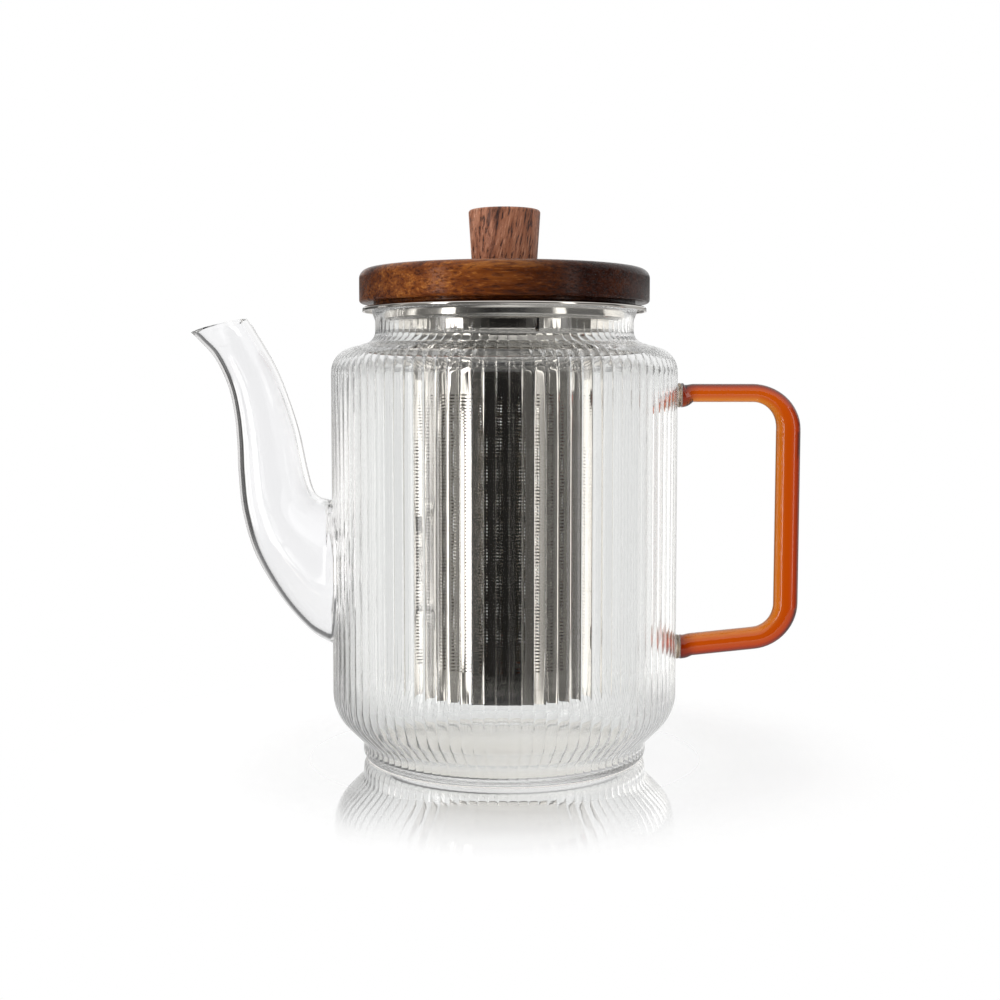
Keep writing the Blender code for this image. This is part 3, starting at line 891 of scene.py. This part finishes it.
def rod_radius(travelled, total):
    """Radius of the handle's rod at a distance from its upper end."""
    bends = ROD_BEND_RADIUS * math.pi / 2
    top_end = HANDLE_REACH - ROD_BEND_RADIUS
    bottom_start = total - top_end
    radius = ROD_RADIUS_TOP
    radius += (ROD_RADIUS_GRIP - ROD_RADIUS_TOP) * smooth_step(travelled, top_end, top_end + bends)
    radius += (ROD_RADIUS_BOTTOM - ROD_RADIUS_GRIP) * smooth_step(
        travelled, bottom_start - bends, bottom_start
    )
    from_end = min(travelled, total - travelled)
    return radius + (ROD_END_RADIUS - radius) * (1 - smooth_step(from_end, 0, ROD_END_TAPER))


def amber_handle(amber, pale):
    """The bent rod of amber glass and the small pads that fuse it to the pot."""
    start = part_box("handle")[0].x
    grip = BODY_RADIUS + HANDLE_REACH
    corners = (
        (start, HANDLE_TOP_HEIGHT - ROD_END_SAG, 0),
        (start + ROD_END_TAPER / 3, HANDLE_TOP_HEIGHT - ROD_END_SAG, ROD_END_TAPER),
        (start + ROD_END_TAPER, HANDLE_TOP_HEIGHT, ROD_END_TAPER),
        (grip, HANDLE_TOP_HEIGHT, ROD_BEND_RADIUS),
        (grip - GRIP_LEAN, HANDLE_BOTTOM_HEIGHT + HANDLE_BOTTOM_RISE, ROD_BEND_RADIUS),
        (start + ROD_END_TAPER, HANDLE_BOTTOM_HEIGHT, ROD_END_TAPER),
        (start + ROD_END_TAPER / 3, HANDLE_BOTTOM_HEIGHT - ROD_END_SAG, ROD_END_TAPER),
        (start, HANDLE_BOTTOM_HEIGHT - ROD_END_SAG, 0),
    )
    path = divided(rounded(corners, ROD_STEP), ROD_STEP)
    travelled = [0.0]
    for a, b in zip(path, path[1:]):
        travelled.append(travelled[-1] + (b - a).length)
    rings = []
    for i, (here, distance) in enumerate(zip(path, travelled)):
        along = (path[min(i + 1, len(path) - 1)] - path[max(i - 1, 0)]).normalized()
        across = Vector((-along.y, along.x))
        radius = rod_radius(distance, travelled[-1])
        ring = []
        for k in range(ROD_SIDES):
            turn = math.tau * k / ROD_SIDES
            out = across * radius * math.cos(turn)
            ring.append((here.x + out.x, radius * math.sin(turn), here.y + out.y))
        rings.append(ring)
    form = loft("amber_handle", rings, caps=True)
    outer_side = form.attributes.new("outer side", "FLOAT", "POINT")
    for i, item in enumerate(outer_side.data):
        item.value = math.cos(math.tau * i / ROD_SIDES)
    rod = placed("amber_handle", form, amber, sharp=50)
    hand_over(rod, "pot", "amber_glass", "handle")
    for name, cad in (("upper_pad", "handle_pad_upper"), ("lower_pad", "handle_pad_lower")):
        low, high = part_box(cad)
        height = (low.z + high.z) / 2
        line = (
            (0, high.x, 0),
            (PAD_RADIUS, high.x, PAD_FILLET),
            (PAD_RADIUS, low.x, PAD_FILLET),
            (0, low.x, 0),
        )
        mesh = turned(name, rounded(line, PAD_ARC_STEP), sides=PAD_SIDES)
        for vertex in mesh.vertices:
            vertex.co = (vertex.co.z, vertex.co.y, height - vertex.co.x)
        pad = placed(name, mesh, pale)
        hand_over(pad, "pot", "clear_glass", cad)


# ---- Infuser


def thickened(piece, thickness, offset, even):
    """Makes a sheet of an open surface, which is its middle at offset 0 and its outside at -1."""
    sheet = piece.modifiers.new("sheet", "SOLIDIFY")
    sheet.thickness = thickness
    sheet.offset = offset
    sheet.use_even_offset = even
    applied(piece)


def pressed(name, corners, steel, cad, cutter=None):
    """A ring of steel sheet, turned from the middle line of the sheet."""
    piece = placed(name, turned(name, rounded(corners, SHEET_ARC_STEP)), steel)
    thickened(piece, SHEET, 0, even=True)
    if cutter is not None:
        cut_out(piece, cutter)
    hand_over(piece, "infuser", "polished_steel", cad)


def infuser_ring_pieces(steel):
    """The flange with its cup, the collar and the floor."""
    half = SHEET / 2
    seat = bottom("infuser_rim") + CUP_DEPTH
    flange_edge = reach("infuser_rim") - half
    cup_line = CUP_RADIUS - half
    cup_floor = seat + half - CUP_DEPTH
    collar_line = reach("infuser_collar") - half
    sleeve_radius = reach("infuser_sleeve")
    flange = (
        (flange_edge, seat - FLANGE_CURL, 0),
        (flange_edge, seat + half, SHEET),
        (cup_line, seat + half, SHEET),
        (cup_line, cup_floor, CUP_FILLET),
        (collar_line, cup_floor, 0),
    )
    pressed("infuser_flange", flange, steel, "infuser_rim")
    collar_floor = bottom("infuser_collar") + half
    collar = (
        (collar_line, top("infuser_collar"), 0),
        (collar_line, collar_floor, COLLAR_FILLET),
        (sleeve_radius, collar_floor, 0),
    )
    bearing = math.radians(SEAM_BEARING)
    across = Vector((math.cos(bearing), math.sin(bearing), 0)) * SEAM_WIDTH / 2
    out = Vector((math.sin(bearing), -math.cos(bearing), 0))
    seam = []
    for z in (collar_floor + COLLAR_FILLET, top("infuser_collar") + SHEET):
        near, far = out * (collar_line - SHEET), out * (collar_line + SHEET)
        ring = (near - across, far - across, far + across, near + across)
        seam.append([Vector((p.x, p.y, z)) for p in ring])
    cutter = loft("seam", seam, caps=True)
    pressed("seamed_collar", collar, steel, "infuser_collar", cutter)
    base_line = reach("infuser_base") - half
    base_floor = bottom("infuser_base") + half
    base = (
        (base_line, base_floor + BASE_SKIRT, 0),
        (base_line, base_floor, BASE_FILLET),
        (0, base_floor, 0),
    )
    pressed("infuser_floor", base, steel, "infuser_base")


def hole_cell(pitch, rise):
    """One cell of the sheet in the XZ plane: a ring of faces round a hole."""
    edge = []
    for x, z in ((1, 1), (0, 1), (-1, 1), (-1, 0), (-1, -1), (0, -1), (1, -1), (1, 0)):
        edge.append((x * pitch / 2, 0, (z + 1) * rise / 2))
    hole = []
    for i in range(HOLE_SIDES):
        turn = math.tau * (i + 1) / HOLE_SIDES
        hole.append((HOLE_RADIUS * math.cos(turn), 0, rise / 2 + HOLE_RADIUS * math.sin(turn)))
    form = bmesh.new()
    outer = [form.verts.new(place) for place in edge]
    inner = [form.verts.new(place) for place in hole]
    for i in range(HOLE_SIDES):
        k = (i + 1) % HOLE_SIDES
        form.faces.new((outer[i], outer[k], inner[k], inner[i]))
    mesh = bpy.data.meshes.new("hole_cell")
    form.to_mesh(mesh)
    form.free()
    return mesh


def pierced_sleeve(steel):
    """The tube of pierced sheet, in upright panels."""
    radius = reach("infuser_sleeve")
    columns = HOLE_COLUMNS // SLEEVE_PANELS
    sizes = {
        "Columns": columns,
        "Rows": HOLE_ROWS,
        "Column Pitch": math.tau * radius / HOLE_COLUMNS,
        "Row Pitch": (HOLES_TO - HOLES_FROM) / HOLE_ROWS,
        "Radius": radius,
        "Bottom": bottom("infuser_sleeve"),
        "Holes From": HOLES_FROM,
        "Top": top("infuser_sleeve"),
        "First Bearing": 0.0,
    }
    tree = pierced_tree(sizes)
    for panel in range(SLEEVE_PANELS):
        sizes["First Bearing"] = math.tau * (panel * columns + FIRST_COLUMN) / HOLE_COLUMNS
        cell = hole_cell(sizes["Column Pitch"], sizes["Row Pitch"])
        piece = placed(f"pierced_sleeve_{panel + 1}", cell, steel)
        grown(piece, tree, sizes, steel)
        form = bmesh.new()
        form.from_mesh(piece.data)
        for face in form.faces:
            middle = face.calc_center_median()
            if face.normal.x * middle.x + face.normal.y * middle.y < 0:
                face.normal_flip()
        form.to_mesh(piece.data)
        form.free()
        thickened(piece, SLEEVE_SHEET, -1, even=False)
        smoothed(piece.data)
        hand_over(piece, "infuser", "polished_steel", "infuser_sleeve")


# ---- Lid


def walnut_lid(walnut):
    """The turned disc with its seating step and plug."""
    seat = bottom("lid_disc")
    radius = reach("lid_disc")
    high = top("lid_disc")
    step_bottom = seat + PLUG_DEPTH
    step_top = step_bottom + LID_STEP
    recess = reach("knob_screw") + GAP
    profile = (
        (SCREW_HOLE_RADIUS, high, 0),
        (radius, high, LID_TOP_FILLET),
        (radius, step_top, LID_BOTTOM_FILLET),
        (radius - LID_STEP_INSET, step_top, 0),
        (radius - LID_STEP_INSET, step_bottom, PLUG_FILLET),
        (PLUG_RADIUS, step_bottom, 0),
        (PLUG_RADIUS, seat + PLUG_LIP, 0),
        (PLUG_RADIUS + PLUG_LIP_WIDTH, seat + PLUG_LIP, PLUG_FILLET),
        (PLUG_RADIUS + PLUG_LIP_WIDTH, seat, PLUG_FILLET),
        (recess, seat, PLUG_FILLET),
        (recess, seat + SCREW_RECESS_DEPTH, 0),
        (SCREW_HOLE_RADIUS, seat + SCREW_RECESS_DEPTH, 0),
    )
    mesh = turned("walnut_lid", rounded(profile, LID_ARC_STEP, closed=True), closed=True)
    lid = placed("walnut_lid", mesh, walnut)
    hand_over(lid, "lid", "lid_wood", "lid_disc")


def walnut_knob(walnut):
    """The tapered knob with its blind screw hole."""
    low, high = bottom("lid_knob"), top("lid_knob")
    hole_top = top("knob_screw") + GAP
    profile = (
        (0, high, 0),
        (reach("lid_knob"), high, KNOB_FILLET),
        (KNOB_BASE_RADIUS, low, KNOB_BASE_FILLET),
        (SCREW_HOLE_RADIUS, low, 0),
        (SCREW_HOLE_RADIUS, hole_top, 0),
        (0, hole_top, 0),
    )
    mesh = turned("walnut_knob", rounded(profile, KNOB_ARC_STEP), sides=KNOB_SIDES)
    knob = placed("walnut_knob", mesh, walnut)
    hand_over(knob, "lid", "knob_wood", "lid_knob")


def recoat(node_name, coat):
    """Gives a better material to a node that keeps its own mesh."""
    coated(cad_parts[node_name].data, coat)


# ---- Floor, light and camera

DARK_SIDE = 0.3  # brightness of the side towards the spout, seen through glass
BRIGHT_SIDE = 0.9  # and of the side towards the handle
GLASS_BOUNCES = 48  # light crosses many glass walls on its way through the pot and its foot

# Directions are unit vectors: X, Y and Z of 1 point to the handle's side, the back and the top.
STRAIGHT_BACK = (0.74, 0.99)  # from here to here in Y, the dark sides turn white
STRAIGHT_FRONT = (-0.80, -0.97)
STRAIGHT_ASIDE = (0.93, 0.995)  # and here in X, either way
OVERHEAD = (0.4, 0.6)  # and here in Z
BELOW_HORIZON = (-0.11, -0.085, 0.6, 1)  # the sides are darker below this Z
PANELS_TOP = (0.45, 0.50)  # the panels end here in Z
PANELS_BOTTOM = (-0.21, -0.26)
LOWER_BEHIND = (0.1, 0.5, 0, 0.36)  # between these Y, their tops come down by so much
CLOTH_DENSITY = (0.05, 0.065, 0.65, 0.9)  # the upright cloths are denser above this Z
DARKEST_CLOTH = 0.95
FILL_SLOPE = -0.45  # matt surfaces get less light from the handle's side
PANEL_TINT = (1, 0.985, 0.97)

STUDIO = (
    # bearing from the front in degrees towards the handle, and brightness
    (-180, 1.0),
    (-160, 0.8),
    (-146, 1.2),
    (-128, 1.7),
    (-121, 0.8),
    (-116, 0.8),
    (-110, 1.9),
    (-105.5, 0.45),
    (-102, 0.5),
    (-98, 1.6),
    (-92, 2.2),
    (-88, 0.35),
    (-82, 0.22),
    (-64, 0.45),
    (-60.5, 1.2),
    (-57.5, 5.0),
    (-48, 5.0),
    (-45, 0.3),
    (-39, 0.13),
    (-27, 0.09),
    (-21, 0.045),
    (-15, 0.02),
    (17, 0.02),
    (26, 0.1),
    (44.3, 0.26),
    (49.8, 2.5),
    (56.8, 2.5),
    (59.3, 0.2),
    (103, 0.14),
    (107, 1.6),
    (120, 1.9),
    (180, 1.0),
)

BLACK_CLOTHS = (
    # bearings between which each fades in and out, and how many glass surfaces it shows through
    (-155, -149, -121, -117, 3),
    (-178, -172, -92, -88, 0),
    (95, 100, 172, 178, 0),
)


def place_of(degrees):
    """A bearing from -180 to 180 degrees as a place from 0 to 1."""
    return degrees / 360 + 0.5


def studio_panels(tree, bearing):
    """The brightness of the studio's panels and dark gaps, all round."""
    made = node(tree, "ShaderNodeValToRGB", {0: bearing})
    elements = made.color_ramp.elements
    brightest = max(level for _, level in STUDIO)
    elements[0].position, elements[1].position = 0, 1
    for degrees, _ in STUDIO[1:-1]:
        elements.new(place_of(degrees))
    for element, (degrees, level) in zip(elements, STUDIO):
        element.position = place_of(degrees)
        element.color = (*(level / brightest * share for share in PANEL_TINT), 1)
    inputs = {0: made.outputs[0], "Scale": brightest}
    return node(tree, "ShaderNodeVectorMath", inputs, operation="SCALE").outputs[0]


def black_cloths(bearing, z, crossed):
    """How much of the light the black cloths take."""
    cloths = []
    for a, b, c, d, surfaces in BLACK_CLOTHS:
        cloth = bearing.ramp(place_of(a), place_of(b)) * bearing.ramp(place_of(d), place_of(c))
        cloths.append(cloth * crossed.math("LESS_THAN", surfaces + 0.5))
    low, left, right = cloths
    return (low + (left + right) * z.ramp(*CLOTH_DENSITY)).math("MINIMUM", DARKEST_CLOTH)


def studio():
    """White all round, but mirrored surfaces see the panels and dark gaps of a studio."""
    for limit in ("max_bounces", "transmission_bounces", "glossy_bounces"):
        setattr(bpy.context.scene.cycles, limit, GLASS_BOUNCES)
    world = bpy.data.worlds.new("studio")
    bpy.context.scene.world = world
    world.use_nodes = True
    world.cycles.sampling_method = "NONE"
    tree = world.node_tree
    direction = node(tree, "ShaderNodeTexCoord").outputs["Generated"]
    x, y, z = parts_of(tree, direction)
    bearing = x.math("ARCTAN2", y * -1) / math.tau + 0.5
    path = node(tree, "ShaderNodeLightPath")
    bounced = Field(tree, path.outputs["Glossy Depth"]).math("GREATER_THAN", 0.5)
    spread = Field(tree, path.outputs["Diffuse Depth"]).math("GREATER_THAN", 0.5)
    camera_ray = Field(tree, path.outputs["Is Camera Ray"])
    crossed = Field(tree, path.outputs["Transmission Depth"])

    side = x.ramp(-0.1, 0.1, DARK_SIDE, BRIGHT_SIDE) * z.ramp(*BELOW_HORIZON)
    straight = y.ramp(*STRAIGHT_BACK) + y.ramp(*STRAIGHT_FRONT)
    straight = straight + x.math("ABSOLUTE").ramp(*STRAIGHT_ASIDE)
    white = (straight + z.ramp(*OVERHEAD)).math("MINIMUM", 1)
    through = side + (side * -1 + 1) * white
    through = vector_of(tree, through, through, through)
    open_air = (z + y.ramp(*LOWER_BEHIND)).ramp(*PANELS_TOP) + z.ramp(*PANELS_BOTTOM)
    panels = studio_panels(tree, bearing)
    panels = blended(tree, black_cloths(bearing, z, crossed), panels, (0, 0, 0, 1))
    mirrored = blended(tree, open_air, panels, through)
    lit = x * FILL_SLOPE + 1.0
    plain = blended(tree, spread, (1, 1, 1, 1), vector_of(tree, lit, lit, lit))
    through = blended(tree, (spread + camera_ray).math("MINIMUM", 1), through, plain)
    seen = blended(tree, bounced * (spread * -1 + 1), through, mirrored)
    feed(tree, tree.nodes["Background"].inputs["Color"], seen)


FLOOR_REACH = 2.0
UNDER_POT = (0.0425, 0.0452)  # radii between which the floor under the foot ends
MIRROR_FADE = (0.0455, 0.116, 0.88, 0.0)  # radii between which the mirror fades, and its strengths
MIRROR_ROUGHNESS = 0.02
WHITE_FROM = (0.075, 0.15)  # radii between which the floor turns evenly white
UNDER_TINT = (1.0, 0.965, 0.91, 1)
OPEN_GLOW = 0.13
UNDER_POT_PAINTED_GLOW = 0.62  # painted glow: the floor under the foot gives off this much light, which shows up through the thick base


def mixed(tree, factor, first, second):
    """Two shaders mixed by a factor."""
    inputs = {0: factor, 1: first.outputs[0], 2: second.outputs[0]}
    return node(tree, "ShaderNodeMixShader", inputs)


def floor():
    """A white floor that mirrors what stands on it, less and less away from the foot."""
    half = FLOOR_REACH
    mesh = bpy.data.meshes.new("floor")
    corners = [(-half, -half, 0), (half, -half, 0), (half, half, 0), (-half, half, 0)]
    mesh.from_pydata(corners, [], [(0, 1, 2, 3)])
    made = bpy.data.materials.new("floor")
    made.use_nodes = True
    tree = made.node_tree
    tree.nodes.clear()
    x, y, _ = parts_of(tree, node(tree, "ShaderNodeTexCoord").outputs["Object"])
    away = (x * x + y * y).math("SQRT")
    tone = blended(tree, away.ramp(*UNDER_POT), UNDER_TINT, (1, 1, 1, 1))
    matt = node(tree, "ShaderNodeBsdfDiffuse", {"Color": tone})
    # under the foot the floor glows as a painted pool of light; elsewhere it glows evenly a
    # little, to stay white
    lift = away.ramp(*UNDER_POT, UNDER_POT_PAINTED_GLOW, OPEN_GLOW)
    glow = node(tree, "ShaderNodeEmission", {"Color": tone, "Strength": lift})
    lit = node(tree, "ShaderNodeAddShader", {0: matt.outputs[0], 1: glow.outputs[0]})
    white = node(tree, "ShaderNodeEmission", {"Color": (1, 1, 1, 1), "Strength": 1})
    surface = mixed(tree, away.ramp(*WHITE_FROM), lit, white)
    inputs = {"Color": tone, "Roughness": MIRROR_ROUGHNESS}
    mirror = node(tree, "ShaderNodeBsdfAnisotropic", inputs)
    shine = away.ramp(*MIRROR_FADE) * away.ramp(*UNDER_POT)
    surface = mixed(tree, shine, surface, mirror)
    path = node(tree, "ShaderNodeLightPath")
    bounced = Field(tree, path.outputs["Glossy Depth"]).math("GREATER_THAN", 0.5)
    surface = mixed(tree, bounced, surface, node(tree, "ShaderNodeBsdfTransparent"))
    node(tree, "ShaderNodeOutputMaterial", {"Surface": surface.outputs[0]})
    coated(mesh, made)
    obj = linked("floor", mesh)


CAMERA_LENS = 55.1
CAMERA_PLACE = (-0.0014, -0.490, 0.1174)
CAMERA_TILT = 4.07  # degrees down


def camera():
    """The camera before the pot, and plain colours on the screen."""
    data = bpy.data.cameras.new("camera")
    data.lens = CAMERA_LENS
    data.clip_start = 0.01
    obj = linked("camera", data)
    obj.location = CAMERA_PLACE
    obj.rotation_euler = (math.radians(90 - CAMERA_TILT), 0, 0)
    bpy.context.scene.camera = obj
    bpy.context.scene.view_settings.view_transform = "Standard"


camera()
studio()
floor()
steel = polished_steel()
ribbed_body(clear_glass("ribbed_glass", PRESSED, 0.02))
curved_spout(clear_glass("spout_glass", BLOWN, 0.2))
amber_handle(amber_glass(), pale_glass())
infuser_ring_pieces(steel)
pierced_sleeve(steel)
walnut_lid(lid_walnut())
walnut_knob(knob_walnut())
recoat("lid_seal_ring", seal_silicone())
recoat("knob_screw", steel)
